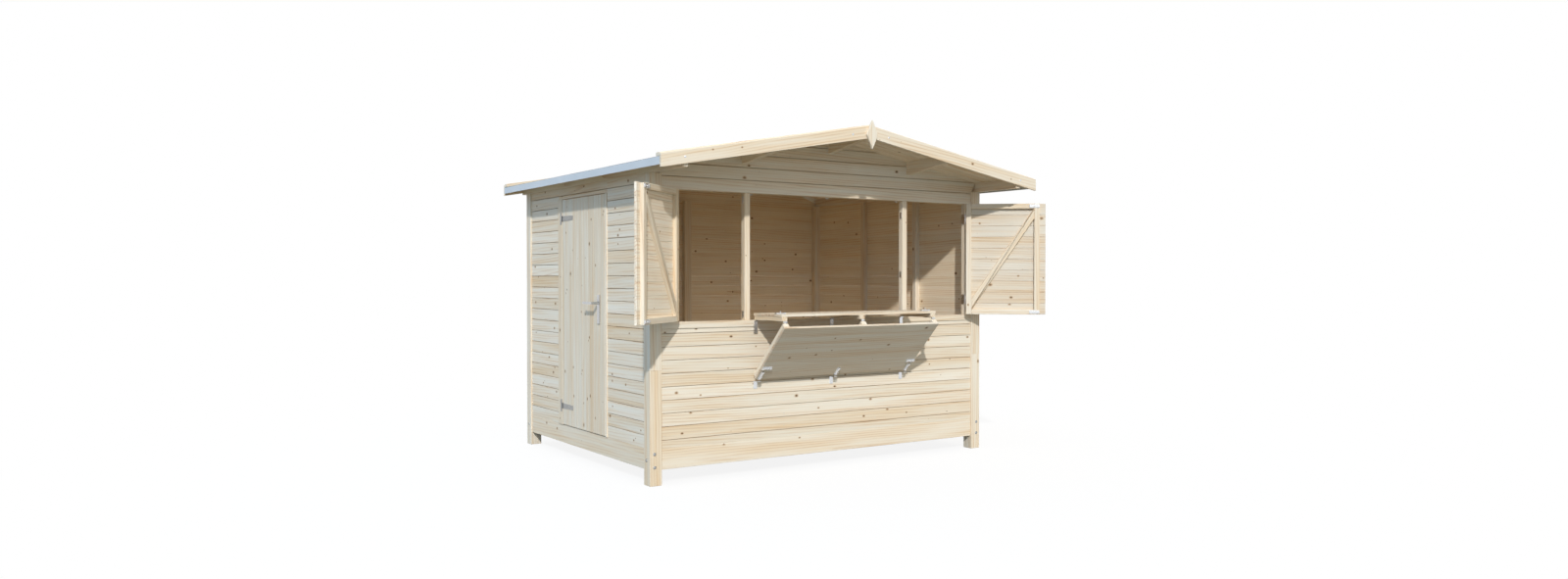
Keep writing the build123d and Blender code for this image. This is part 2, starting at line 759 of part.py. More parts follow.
with BuildPart() as handle_plates:
    for depths in ((pin_offset - handle_plate_thickness, pin_offset),
                   (door_inner_face, door_inner_face + handle_plate_thickness)):
        timber(handle_span, depths, handle_heights, door_frame)
    with BuildSketch(Plane(door_frame.from_local_coords(
            Vector(handle_along, pin_offset - handle_plate_thickness, spindle_height)),
            x_dir=(0, -1, 0), z_dir=(1, 0, 0))) as spindle_bore:
        Circle(spindle_radius + spindle_clearance)
    extrude(spindle_bore.sketch, amount=door_board + 2 * handle_plate_thickness, mode=Mode.SUBTRACT)
save(handle_plates.part, "handle_plates")

plate_faces = {-1: pin_offset - handle_plate_thickness, 1: door_inner_face + handle_plate_thickness}
neck_xs = (handle_along - lever_neck_width / 2, handle_along + lever_neck_width / 2)
with BuildPart() as door_lever:
    for way, face in plate_faces.items():
        neck_end = face + way * lever_plate_gap
        grip_inner = face + way * (lever_standoff - lever_grip_thickness / 2)
        grip_outer = face + way * (lever_standoff + lever_grip_thickness / 2)
        with BuildSketch(door_frame.offset(spindle_height - lever_height / 2)) as lever_outline:
            with BuildLine():
                Polyline(
                    (neck_xs[1], neck_end),
                    (neck_xs[1], grip_outer),
                    (handle_along - lever_reach, grip_outer),
                    (handle_along - lever_reach, grip_inner),
                    (neck_xs[0], grip_inner),
                    (neck_xs[0], neck_end),
                    close=True,
                )
            make_face()
            fillet(lever_outline.vertices(), lever_rounding)
        extrude(lever_outline.sketch, amount=lever_height)
    with BuildSketch(Plane(door_frame.from_local_coords(
            Vector(handle_along, plate_faces[-1] - lever_standoff, spindle_height)),
            x_dir=(0, -1, 0), z_dir=(1, 0, 0))) as spindle:
        Circle(spindle_radius)
    extrude(spindle.sketch, amount=plate_faces[1] - plate_faces[-1] + 2 * lever_standoff)
save(door_lever.part, "door_lever")
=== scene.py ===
import functools
import itertools
import math

import bpy
import numpy as np
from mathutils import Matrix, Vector


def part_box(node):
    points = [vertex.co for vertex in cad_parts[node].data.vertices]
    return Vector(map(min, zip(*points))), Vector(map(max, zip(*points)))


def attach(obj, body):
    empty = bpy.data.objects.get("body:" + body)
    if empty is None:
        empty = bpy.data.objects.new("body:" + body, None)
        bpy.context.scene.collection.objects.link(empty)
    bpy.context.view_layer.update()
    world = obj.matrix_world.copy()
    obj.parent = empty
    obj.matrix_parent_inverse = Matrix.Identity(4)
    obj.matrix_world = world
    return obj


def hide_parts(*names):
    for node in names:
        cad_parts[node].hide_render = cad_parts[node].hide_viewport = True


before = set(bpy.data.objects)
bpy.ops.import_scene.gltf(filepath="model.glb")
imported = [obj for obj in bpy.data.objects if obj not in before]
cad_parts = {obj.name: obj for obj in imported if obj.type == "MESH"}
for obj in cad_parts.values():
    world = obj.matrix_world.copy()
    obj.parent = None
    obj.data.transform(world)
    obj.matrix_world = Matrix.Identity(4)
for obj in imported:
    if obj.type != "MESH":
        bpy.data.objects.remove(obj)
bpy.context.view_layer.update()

bl_info = {
    "name": "Boarded market stall",
    "version": (1, 0, 0),
    "blender": (4, 5, 0),
    "location": "View3D > Sidebar > Stall",
    "description": "Dresses a market stall with spruce boards, timbers, fittings and a studio stage",
    "category": "Object",
}

chance = np.random.default_rng(41)
along_x, along_y, up = np.eye(3)


def linear(hex_colour):
    """An sRGB hex colour in linear light. A channel c over 0.04045 is ((c + 0.055) / 1.055) to the power
    2.4, and any other is c / 12.92."""
    srgb = np.array([int(hex_colour[i:i + 2], 16) for i in (1, 3, 5)]) / 255
    return np.where(srgb <= 0.04045, srgb / 12.92, ((srgb + 0.055) / 1.055) ** 2.4).tolist()


def colour(name, hex_default, description):
    """A colour that the sidebar shows."""
    return bpy.props.FloatVectorProperty(
        name=name, description=description, subtype="COLOR", size=3, min=0, max=1,
        default=linear(hex_default))


def length(name, metres, description):
    """A length that the sidebar shows."""
    return bpy.props.FloatProperty(
        name=name, description=description, unit="LENGTH", min=0, precision=4, default=metres)


def strength(name, default, description, unit="NONE"):
    """A plain number that the sidebar shows."""
    return bpy.props.FloatProperty(name=name, description=description, unit=unit, min=0, default=default)


class StallSizes(bpy.types.PropertyGroup):
    """Sizes of boards, timbers and fasteners"""

    cover: length("Cladding cover", 0.0896, "Height that one cladding board covers")
    groove: length("Cladding groove", 0.0039, "Height of the cove at the top of a cladding board")
    groove_depth: length("Groove depth", 0.0120, "How far the cove goes into the board")
    roof_board: length("Roof board", 0.0946, "Width of one roof board along the eave")
    roof_joint: length("Roof board joint", 0.0070, "Chamfer along the lower edges of roof boards")
    floor_board: length("Floor board", 0.0908, "Width of one floor board")
    joint: length("V joint", 0.0022, "Chamfer along the edges of door and shutter boards")
    fine_joint: length("Fine joint", 0.0011, "Chamfer along the edges of counter and floor boards")
    arris: length("Eased arris", 0.0026, "Rounding along the edges of the planed timbers")
    bolt_head: length("Bolt head", 0.0115, "Radius of the carriage bolts' domed heads")
    screw_head: length("Screw head", 0.0085, "Radius of the bargeboards' screw heads")
    strap_screw: length("Strap screw", 0.0052, "Radius of the screw heads in the door's hinge straps")
    nail_head: length("Nail head", 0.0028, "Radius of the cladding's nail heads")


class StallColours(bpy.types.PropertyGroup):
    """Colours of wood, metal and roof"""

    spruce: colour("Spruce", "#F1E9D9", "Pale earlywood of planed spruce")
    warm: colour("Warm spruce", "#EAD1AD", "Warmer streaks in planed spruce")
    ring: colour("Spruce rings", "#C49C72", "Latewood lines of planed spruce")
    halo: colour("Knot rim", "#CDB18F", "Resinous wood round a knot")
    knot: colour("Knot", "#4C3E33", "Heart of a spruce knot")
    zinc: colour("Zinc", "#E6E8EA", "Zinc plating on hinges, slide bolts, screws and nails")
    dipped: colour("Dipped zinc", "#AEB0B0", "Dull zinc on the door's hinges and the bolt heads")
    steel: colour("Handle steel", "#CDCFD1", "Brushed steel of the door handle")
    trim: colour("Eave trim", "#D3DCE4", "Coated sheet along the eaves")
    felt: colour("Roof felt", "#444647", "Mineral grit on the roof felt")


class StallStage(bpy.types.PropertyGroup):
    """Light and camera of the stage"""

    key: strength("Key light", 2.45, "Strength of the distant key lamp")
    fill: strength("Fill light", 1.22, "Strength of the soft light from all round")
    focal: strength("Focal length", 24.71, "Camera lens in millimetres", "CAMERA")


def add_node(tree, kind, inputs=None, **settings):
    """Add one shader node and return its outputs. Inputs are values or other nodes' outputs, by the name or
    place of the socket. Map Range has its value at 0, the old range at 1 and 2 and the new one at 3 and 4.
    Mix has its share at 0, numbers at 2 and 3 and colours at 6 and 7, and gives a colour at 2."""
    added = tree.nodes.new("ShaderNode" + kind)
    for key, value in settings.items():
        setattr(added, key, value)
    for key, value in (inputs or {}).items():
        if isinstance(value, bpy.types.NodeSocket):
            tree.links.new(value, added.inputs[key])
        else:
            added.inputs[key].default_value = value
    return added.outputs


def new_material(name):
    """A material with an empty node tree, and add_node for that tree."""
    material = bpy.data.materials.new(name)
    material.use_nodes = True
    material.node_tree.nodes.clear()
    return material, functools.partial(add_node, material.node_tree)


def opaque(rgb, share=1.0):
    """A colour socket's value: linear colour times a share, with full alpha."""
    return (*(min(1.0, share * channel) for channel in rgb), 1.0)


def spruce(use, knot_share):
    """Untreated Norway spruce, planed. The plane leaves a dull silky face: cream earlywood with warmer
    streaks and thin tan rings, which run along the board in long tongues, bend round brown knots and show
    as arcs on sawn ends. Rings are circles about a pith line that leans a little from the board's length.
    Real rings are 3 mm to 5 mm apart and are drawn at 17 mm, so that they still show where the whole stall
    is in view. Knots are the cells' middles in a pattern of about 16 cm, a share of which has a knot of up
    to 8.5 mm radius, clear of the board's edges. Streaks are about 1.1 m long and 42 mm wide."""
    name = f"planed_spruce_{use}"
    if name in bpy.data.materials:
        return bpy.data.materials[name]
    colours = bpy.context.scene.stall_colours
    ring_pitch, knot_pitch, knot_radius = 0.017, 0.16, 0.0085
    streaks_per_metre, ring_pull = (0.9, 24, 24), (0.25, 0.25, 0.25)
    material, add = new_material(name)
    grain = add("Attribute", attribute_name="grain")["Vector"]
    tone, peach, painted_lift, across = (
        add("Attribute", attribute_name=look)["Fac"] for look in ("tone", "peach", "painted_lift", "across"))

    # Knots, a little longer along the board than across it
    lengthened = add("Mapping", {"Vector": grain, "Scale": (0.72, 1, 1)})[0]
    cell = add("TexVoronoi", {"Vector": lengthened, "Scale": 1 / knot_pitch}, voronoi_dimensions="2D")
    draw = add("SeparateColor", {0: cell["Color"]})
    drawn = add("MapRange", {0: draw[0], 1: 1 - knot_share, 4: knot_radius / knot_pitch})[0]
    off_middle = add("Math", {0: across}, operation="ABSOLUTE")[0]
    off_edge = add("MapRange", {0: off_middle, 1: 0.97, 2: 0.82})[0]
    size = add("Math", {0: drawn, 1: off_edge}, operation="MULTIPLY")[0]
    rim = add("Math", {0: size, 1: 2.2}, operation="MULTIPLY")[0]
    core = add("Math", {0: size, 1: 0.55}, operation="MULTIPLY")[0]
    near = add("MapRange", {0: cell["Distance"], 1: rim, 2: core}, interpolation_type="SMOOTHSTEP")[0]
    inside = add("MapRange", {0: cell["Distance"], 1: size, 2: core}, interpolation_type="SMOOTHSTEP")[0]

    # Rings, which fade in and out with the streaks
    leaning = add("Mapping", {"Vector": grain, "Scale": (0.16, 1, 1), "Rotation": (0, 0.10, 0.12)})[0]
    bent = add("CombineXYZ", {2: rim})[0]
    swirl = add("VectorMath", {0: bent, "Scale": near}, operation="SCALE")[0]
    round_knots = add("VectorMath", {0: swirl, 1: ring_pull, 2: leaning}, operation="MULTIPLY_ADD")[0]
    rings = add("TexWave",
                {"Vector": round_knots, "Scale": math.pi / 10 / ring_pitch, "Distortion": 7.0, "Detail": 2.0,
                 "Detail Scale": 0.28, "Detail Roughness": 0.5},
                wave_type="RINGS", rings_direction="X", wave_profile="SAW")["Fac"]
    drawn_out = add("Mapping", {"Vector": grain, "Scale": streaks_per_metre})[0]
    streaks = add("TexNoise", {"Vector": drawn_out, "Scale": 1.0, "Detail": 4.0, "Roughness": 0.62})[0]
    faded = add("MapRange", {0: streaks, 1: 0.42, 2: 0.64, 3: 0.10, 4: 0.58})[0]
    late = add("MapRange", {0: rings, 1: 0.50, 2: 1.0, 4: faded})[0]

    # Colour: painted light makes a face brighter, richer and evener, and painted shade darker and duller
    streaky = add("MapRange", {0: streaks, 1: 0.40, 2: 0.70, 4: 0.65})[0]
    warmth = add("Math", {0: streaky, 1: peach}, operation="ADD", use_clamp=True)[0]
    even = add("Math", {0: painted_lift, 1: 0.6}, operation="MULTIPLY")[0]
    settled = add("Mix", {0: even, 2: warmth, 3: 0.40})[0]
    body = add("Mix", {0: settled, 6: opaque(colours.spruce), 7: opaque(colours.warm)}, data_type="RGBA")[2]
    figure = add("Mix", {0: late, 6: body, 7: opaque(colours.ring)}, data_type="RGBA")[2]
    # A lower tone, which holds the painted shade of grooves and joints, is richer and browner
    richness = add("MapRange", {0: tone, 1: 0.50, 2: 1.06, 3: 1.80, 4: 0.92})[0]
    browner = add("MapRange", {0: tone, 1: 0.60, 2: 0.95, 3: 0.472, 4: 0.5})[0]
    brighter = add("Math", {0: painted_lift, 1: 0.12, 2: tone}, operation="MULTIPLY_ADD")[0]
    richer = add("Math", {0: painted_lift, 1: 0.15, 2: richness}, operation="MULTIPLY_ADD")[0]
    toned = add("HueSaturation",
                {"Color": figure, "Hue": browner, "Value": brighter, "Saturation": richer})[0]
    rimmed = add("Mix", {0: near, 6: toned, 7: opaque(colours.halo)},
                 data_type="RGBA", blend_type="MULTIPLY")[2]
    darkness = add("MapRange", {0: draw[1], 3: 0.50, 4: 1.0})[0]
    heart = add("Math", {0: inside, 1: darkness}, operation="MULTIPLY")[0]
    face = add("Mix", {0: heart, 6: rimmed, 7: opaque(colours.knot)}, data_type="RGBA")[2]

    # Harder latewood takes a better polish and stands a little proud
    gloss = add("MapRange", {0: rings, 3: 0.64, 4: 0.52})[0]
    relief = add("Bump", {"Strength": 0.22, "Distance": 0.0005, "Height": rings})[0]
    surface = add("BsdfPrincipled",
                  {"Base Color": face, "Roughness": gloss, "IOR": 1.45, "Normal": relief})[0]
    add("OutputMaterial", {"Surface": surface})
    return material


def zinc_plate():
    """Sheet steel, bright zinc plated. An almost white silver with soft, uneven reflections: the plating's
    crystals, about 5 mm across, differ a little in gloss, and grey bloom lies over it in patches of about
    30 mm."""
    name = "bright_zinc_plated_steel"
    if name in bpy.data.materials:
        return bpy.data.materials[name]
    zinc = bpy.context.scene.stall_colours.zinc
    crystal_size, bloom_size = 0.005, 0.03
    material, add = new_material(name)
    where = add("TexCoord")["Object"]
    crystal = add("TexVoronoi", {"Vector": where, "Scale": 1 / crystal_size})["Color"]
    bloom = add("TexNoise", {"Vector": where, "Scale": 1 / bloom_size, "Detail": 4.0})[0]
    gloss = add("MapRange", {0: crystal, 3: 0.22, 4: 0.42})[0]
    tint = add("Mix", {0: bloom, 6: opaque(zinc), 7: opaque(zinc, 0.84)}, data_type="RGBA")[2]
    surface = add("BsdfPrincipled", {"Base Color": tint, "Metallic": 1.0, "Roughness": gloss})[0]
    add("OutputMaterial", {"Surface": surface})
    return material


def dipped_steel():
    """Steel, hot-dip galvanised. A dull mid grey with a spangle of about 8 mm that differs in gloss and
    tone."""
    name = "hot_dip_galvanised_steel"
    if name in bpy.data.materials:
        return bpy.data.materials[name]
    dipped = bpy.context.scene.stall_colours.dipped
    spangle_size = 0.008
    material, add = new_material(name)
    where = add("TexCoord")["Object"]
    spangle = add("TexVoronoi", {"Vector": where, "Scale": 1 / spangle_size})["Color"]
    gloss = add("MapRange", {0: spangle, 3: 0.38, 4: 0.60})[0]
    tint = add("Mix", {0: spangle, 6: opaque(dipped), 7: opaque(dipped, 0.70)}, data_type="RGBA")[2]
    surface = add("BsdfPrincipled", {"Base Color": tint, "Metallic": 1.0, "Roughness": gloss})[0]
    add("OutputMaterial", {"Surface": surface})
    return material


def brushed_steel():
    """Stainless steel, brushed along the lever. Fine scratches stretch its highlights along the grip. Real
    ones are about 0.3 mm apart and are drawn 1.5 mm apart and 40 mm long, so that they show."""
    steel = bpy.context.scene.stall_colours.steel
    scratch_pitch, scratch_length = 0.0015, 0.04
    material, add = new_material("brushed_stainless_steel")
    where = add("TexCoord")["Object"]
    scratches = (1 / scratch_pitch, 1 / scratch_length, 1 / scratch_pitch)
    lengthwise = add("Mapping", {"Vector": where, "Scale": scratches})[0]
    scratch = add("TexNoise", {"Vector": lengthwise, "Scale": 1.0, "Detail": 3.0})[0]
    gloss = add("MapRange", {0: scratch, 1: 0.3, 2: 0.7, 3: 0.20, 4: 0.40})[0]
    tint = add("Mix", {0: scratch, 6: opaque(steel), 7: opaque(steel, 0.80)}, data_type="RGBA")[2]
    relief = add("Bump", {"Strength": 0.12, "Distance": 0.0003, "Height": scratch})[0]
    surface = add("BsdfPrincipled",
                  {"Base Color": tint, "Metallic": 1.0, "Roughness": gloss, "Normal": relief})[0]
    add("OutputMaterial", {"Surface": surface})
    return material


def coated_sheet():
    """Coil-coated steel sheet. A satin, pale grey-blue skin with the faint orange peel of a rolled coat,
    about 3 mm across, and a little dust that dulls it in patches of about 25 cm."""
    trim = bpy.context.scene.stall_colours.trim
    peel_size, dust_size = 0.003, 0.25
    material, add = new_material("coil_coated_steel_sheet")
    where = add("TexCoord")["Object"]
    peel = add("TexNoise", {"Vector": where, "Scale": 1 / peel_size, "Detail": 1.0})[0]
    dust = add("TexNoise", {"Vector": where, "Scale": 1 / dust_size, "Detail": 5.0})[0]
    tint = add("Mix", {0: dust, 6: opaque(trim), 7: opaque(trim, 0.90)}, data_type="RGBA")[2]
    gloss = add("MapRange", {0: dust, 1: 0.3, 2: 0.7, 3: 0.34, 4: 0.50})[0]
    relief = add("Bump", {"Strength": 0.06, "Distance": 0.0004, "Height": peel})[0]
    surface = add("BsdfPrincipled", {"Base Color": tint, "Roughness": gloss, "Normal": relief})[0]
    add("OutputMaterial", {"Surface": surface})
    return material


def mineral_felt():
    """Bitumen felt rolled with mineral grit. Dark, dull and sandy, with slow patches of about 35 cm where
    the grit has worn thin. Real grains are about 1 mm and are drawn at 3 mm, so that they show."""
    felt = bpy.context.scene.stall_colours.felt
    grain_size, patch_size = 0.003, 0.35
    material, add = new_material("mineral_bitumen_felt")
    where = add("TexCoord")["Object"]
    grit = add("TexVoronoi", {"Vector": where, "Scale": 1 / grain_size})
    grey = add("MapRange", {0: grit["Color"], 3: 0.6, 4: 1.5})[0]
    worn = add("TexNoise", {"Vector": where, "Scale": 1 / patch_size, "Detail": 6.0, "Roughness": 0.6})[0]
    patch = add("Mix", {0: worn, 6: opaque(felt, 0.75), 7: opaque(felt, 1.3)}, data_type="RGBA")[2]
    grain = add("HueSaturation", {"Color": patch, "Value": grey})[0]
    relief = add("Bump", {"Strength": 0.5, "Distance": 0.0012, "Height": grit["Distance"]})[0]
    surface = add("BsdfPrincipled", {"Base Color": grain, "Roughness": 0.93, "Normal": relief})[0]
    add("OutputMaterial", {"Surface": surface})
    return material


def add_piece(name, body, slot, material, points, faces, stands_for=(), smooth=False, **attributes):
    """Put points, faces and point attributes into a mesh object that rides on a body."""
    mesh = bpy.data.meshes.new(name)
    mesh.from_pydata(points.tolist(), [], faces)
    mesh.polygons.foreach_set("use_smooth", np.full(len(mesh.polygons), smooth))
    for key, values in attributes.items():
        kind, field = ("FLOAT", "value") if values.ndim == 1 else ("FLOAT_VECTOR", "vector")
        mesh.attributes.new(key, kind, "POINT").data.foreach_set(field, values.astype(np.float32).ravel())
    mesh.materials.append(material)
    piece = bpy.data.objects.new(name, mesh)
    bpy.context.scene.collection.objects.link(piece)
    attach(piece, body)
    if stands_for:
        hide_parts(*stands_for)


def finish_nodes(material, *cad_nodes):
    """Give CAD nodes that stay as they are a finished material."""
    for cad_node in cad_nodes:
        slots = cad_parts[cad_node].data.materials
        slots.clear()
        slots.append(material)


def span(cad_node):
    """The low and high corners of a CAD node's box."""
    return tuple(np.array(corner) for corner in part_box(cad_node))


def corners_of(low, high):
    """The eight corners of a box."""
    return np.array(list(itertools.product(*zip(low, high))))


def solids(cad_node):
    """The corner points of each solid in a CAD node. Its triangles come solid by solid. Every edge has a
    random number, counted up one way and down the other, so the running sum is back at zero where a solid
    is closed."""
    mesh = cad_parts[cad_node].data
    points, loops = np.empty(len(mesh.vertices) * 3), np.empty(len(mesh.loops), int)
    mesh.vertices.foreach_get("co", points)
    mesh.loops.foreach_get("vertex_index", loops)
    corners, place = np.unique(points.reshape(-1, 3).round(5), axis=0, return_inverse=True)
    triangles = place.ravel()[loops].reshape(-1, 3)
    starts, ends = triangles, np.roll(triangles, -1, axis=1)
    numbers = np.random.default_rng(7).integers(1, 2 ** 40, (len(corners), len(corners)))
    steps = np.sign(ends - starts) * numbers[np.minimum(starts, ends), np.maximum(starts, ends)]
    closed = np.flatnonzero(np.cumsum(steps.sum(axis=1)) == 0) + 1
    return [corners[np.unique(part)] for part in np.split(triangles, closed[:-1])]


def unit(way):
    """The way with a length of one."""
    return way / np.linalg.norm(way)


def box_axes(points):
    """The first corner and the three edges of a box, longest first: the shortest way from that corner, the
    shortest square to it, and the shortest square to both."""
    ways = points[1:] - points[0]
    edges = []
    for way in ways[np.argsort(np.linalg.norm(ways, axis=1))]:
        if all(abs(unit(way) @ unit(edge)) < 1e-3 for edge in edges):
            edges.append(way)
    return points[0], edges[::-1]


def turned_outline(points):
    """The corners of a convex outline, in order round its middle."""
    corners = np.unique(points.round(5), axis=0)
    away = corners - corners.mean(axis=0)
    return corners[np.argsort(np.arctan2(away[:, 1], away[:, 0]))]


def arrised(outline, low, high, arris):
    """Rings of a convex prism with eased arrises, as stations x points x (u, v, w). At a turn t towards
    each end the outline moves in by the arris times (1 - sin t), at the arris times (1 - cos t) from that
    end. Each corner is cut back by the arris both ways, with a middle point a quarter of the way out."""
    turn = np.array([0, 0.5, 1]) * math.pi / 2
    inset, rise = arris * (1 - np.sin(turn)), arris * (1 - np.cos(turn))
    heights = np.concatenate([low + rise, (high - rise)[::-1]])
    insets = np.concatenate([inset, inset[::-1]])
    sides = np.roll(outline, -1, axis=0) - outline
    after = sides / np.linalg.norm(sides, axis=1, keepdims=True)
    before = np.roll(after, 1, axis=0)
    inward = np.stack([-after[:, 1], after[:, 0]], axis=1)
    inward_before = np.roll(inward, 1, axis=0)
    shift = (inward + inward_before) / (1 + (inward * inward_before).sum(axis=1, keepdims=True))
    corners = outline + insets[:, None, None] * shift
    spread = arris * np.stack([-before, (after - before) / 4, after], axis=1)
    rings = (corners[:, :, None] + spread).reshape(len(heights), -1, 2)
    return np.concatenate([rings, np.broadcast_to(heights[:, None, None], (*rings.shape[:2], 1))], axis=2)


def carried(rings, first=0):
    """Faces of closed rings carried along stations: quads between them and a cap at each end."""
    stations, around = rings.shape[:2]
    index = first + np.arange(stations * around).reshape(stations, around)
    onward = np.roll(index, -1, axis=1)
    quads = np.stack([index[:-1], onward[:-1], onward[1:], index[1:]], axis=-1).reshape(-1, 4)
    return quads.tolist() + [index[0, ::-1].tolist(), index[-1].tolist()]


def faces_out(rings):
    """Whether rings turn the right way about the way they are carried, so that their faces point out."""
    area = np.cross(rings[0], np.roll(rings[0], -1, axis=0)).sum(axis=0)
    return area @ (rings[-1].mean(axis=0) - rings[0].mean(axis=0)) > 0


class WoodPile:
    """Boards and timbers that make one piece, each with its own tone and its own place in a log."""

    def __init__(self, tone=0.99, spread=0.024, peach=0.42):
        self.points, self.faces, self.count = [], [], 0
        self.looks = {key: [] for key in ("grain", "across", "tone", "peach", "painted_lift")}
        self.tone, self.spread, self.peach = tone, spread, peach

    def lay(self, rings, axes, origin=(0, 0, 0), painted_shade=1.0, painted_lift=0.0):
        """Add one board: rings hold (along, across, depth), set on three axes from an origin. The painted
        shade darkens points that lie in a groove or joint, for the shade that falls there. The painted lift
        is painted light over zero, on a face that it brightens, and painted shade under zero, on one that it
        darkens and dulls. Chance gives the board's place from the pith, a tone about the pile's, and a peach
        tint that is strong on few boards."""
        world = origin + rings @ axes
        if not faces_out(world):
            world, rings, painted_shade, painted_lift = world[:, ::-1], rings[:, ::-1], np.flip(painted_shade), np.flip(painted_lift)
        nearest, furthest = (0, -0.05, 0.02), (40, 0.05, 0.10)
        darkest, palest = self.tone - 0.09, self.tone + 0.07
        pith = chance.uniform(nearest, furthest)
        tone = np.clip(chance.normal(self.tone, self.spread), darkest, palest)
        peach = self.peach * chance.uniform(0, 1) ** 3
        from_edge = rings[:, :, 1] - rings[:, :, 1].min()
        across = from_edge / (from_edge.max() / 2) - 1
        self.looks["grain"].append((rings - rings.mean(axis=(0, 1)) + pith).reshape(-1, 3))
        for key, look in (("across", across), ("tone", tone * painted_shade), ("peach", peach), ("painted_lift", painted_lift)):
            self.looks[key].append(np.broadcast_to(look, world.shape[:2]).ravel())
        self.faces += carried(world, self.count)
        self.points.append(world.reshape(-1, 3))
        self.count += len(self.points[-1])

    def box(self, points, arris, painted_lift=0.0):
        """Add one square-cut timber from a box's corners, with its grain along the longest edge."""
        origin, edges = box_axes(points)
        long, wide, deep = (np.linalg.norm(edge) for edge in edges)
        outline = np.array([(0, 0), (wide, 0), (wide, deep), (0, deep)])
        rings = arrised(outline, 0, long, arris)[:, :, [2, 0, 1]]
        self.lay(rings, np.array([unit(edge) for edge in edges]), origin, painted_lift=painted_lift)

    def prism(self, points, through, arris, grain=None):
        """Add one timber whose outline is seen along one way. Its grain follows a given way, or else the
        longest edge of the outline."""
        side = unit(np.cross(through, up if abs(through[2]) < 0.9 else along_x))
        axes = np.array([side, np.cross(through, side), through])
        flat = points @ axes.T
        outline = turned_outline(flat[:, :2])
        if grain is None:
            edges = np.roll(outline, -1, axis=0) - outline
            grain = unit(edges[np.argmax(np.linalg.norm(edges, axis=1))]) @ axes[:2]
        across = side if abs(grain @ through) > 0.9 else np.cross(through, grain)
        rings = arrised(outline, flat[:, 2].min(), flat[:, 2].max(), arris)
        turned = np.array([grain, across, np.cross(grain, across)])
        self.lay(rings @ axes @ turned.T, turned)

    def purlin(self, points, arris):
        """Add one timber along Y with slanted tails: the outline of its full height runs from end to end,
        and its lower edge rises in a straight line from each end wall to the tip."""
        places, bottom = np.unique(points[:, 1]), points[:, 2].min()
        walls, tips = (points[np.isin(points[:, 1], ends)] for ends in (places[1:-1], places[[0, -1]]))
        tip_bottom = tips[:, 2].min()
        full_height = np.concatenate([walls, tips[tips[:, 2] > tip_bottom + arris]])
        rings = arrised(turned_outline(full_height[:, [0, 2]]), places[0], places[-1], arris)
        between = np.stack([np.insert(rings[2, :, :2], 2, place, axis=1) for place in places[1:-1]])
        rings = np.concatenate([rings[:3], between, rings[3:]])
        tail = tip_bottom - bottom
        slant = np.interp(rings[:, :, 2], places, [tail, 0, 0, tail])
        rings[:, :, 1] += np.where(rings[:, :, 1] < bottom + 2 * arris, slant, 0)
        self.lay(rings[:, :, [2, 0, 1]], np.array([along_y, along_x, up]))

    def planks(self, points, count, joint, turned=False, painted_lift=0.0):
        """Add a box as boards side by side, each a strip with all its edges chamfered, with painted shade on
        the chamfers of a joint between boards. The boards run along the box's longest edge, or across it
        where turned."""
        origin, edges = box_axes(points)
        if turned:
            edges = [edges[1], edges[0], edges[2]]
        long, wide, deep = (np.linalg.norm(edge) for edge in edges)
        axes = np.array([unit(edge) for edge in edges])
        # Painted shade darkens the chamfers where two boards meet, but not the outer edges
        cover, painted_joint_shade = wide / count, 0.76
        end_ease = min(bpy.context.scene.stall_sizes.fine_joint, joint / 2)
        strip = np.array([(joint, 0), (cover - joint, 0), (cover, joint), (cover, deep - joint),
                          (cover - joint, deep), (joint, deep), (0, deep - joint), (0, joint)])
        rings = arrised(strip, 0, long, end_ease)[:, :, [2, 0, 1]]
        for board in range(count):
            first, last = (1 if at_edge else painted_joint_shade for at_edge in (board == 0, board == count - 1))
            painted_groove_shade = np.repeat([1, 1, last, last, 1, 1, first, first], 3)
            self.lay(rings + (0, board * cover, 0), axes, origin, painted_groove_shade, painted_lift)

    def clad(self, low, high, anchor, deep, reach, axes, origin):
        """Add cladding boards one over another between two heights, and return the courses' heights. A
        profile has a rounded lower lip, a flat face and a cove at the top, under the next lip; it is
        clipped to the heights. Reach gives both ends of a board at each height. Each face is set back a
        little by chance."""
        sizes = bpy.context.scene.stall_sizes
        cover, groove, cut = sizes.cover, sizes.groove, sizes.groove_depth
        lip, ease, hairline, setback = 0.0022, 0.0008, 0.0004, 0.0008
        top = cover - hairline
        profile = np.array([
            (0, lip), (lip / 3, lip / 3), (lip, 0),
            (cover - groove - 3 * ease, 0), (cover - groove - ease, ease),
            (cover - 0.75 * groove, 0.5 * cut), (cover - 0.4 * groove, 0.86 * cut), (top, cut),
            (top, deep - ease), (top - ease, deep), (ease, deep), (0, deep - ease)])
        # Painted shade darkens the lip's underside and the cove, where the board above shades the groove
        painted_groove_shade = np.array([0.86, 0.95, 1, 1, 0.96, 0.85, 0.80, 0.77, 0.9, 1, 1, 0.9])
        # The inner faces take painted light, a lift of one, that brightens the dim inside
        sheltered = profile[:, 1] > cut
        rounding = 1e-6
        first = math.floor((low - anchor) / cover + rounding)
        last = math.ceil((high - anchor) / cover - rounding)
        courses = anchor + cover * np.arange(first, last)
        for course in courses:
            lowest = max(course, low) + np.minimum(profile[:, 0], lip)
            heights = np.clip(course + profile[:, 0], lowest, high)
            if np.ptp(heights) > groove:
                depths = np.maximum(profile[:, 1], chance.uniform(0, setback))
                rings = np.stack([np.stack([ends, heights, depths], axis=1) for ends in reach(heights)])
                self.lay(rings, axes, origin, painted_groove_shade, sheltered)
        return courses

    def finish(self, name, body, slot, material, stands_for):
        """Make the piece."""
        looks = {key: np.concatenate(values) for key, values in self.looks.items()}
        add_piece(name, body, slot, material, np.concatenate(self.points), self.faces, stands_for, **looks)


def squared(cad_node, body, slot, material):
    """Square-cut timbers in place of a CAD node's boxes."""
    pile = WoodPile(spread=0.012)
    for points in solids(cad_node):
        pile.box(points, bpy.context.scene.stall_sizes.arris)
    pile.finish(cad_node + "_planed", body, slot, material, [cad_node])


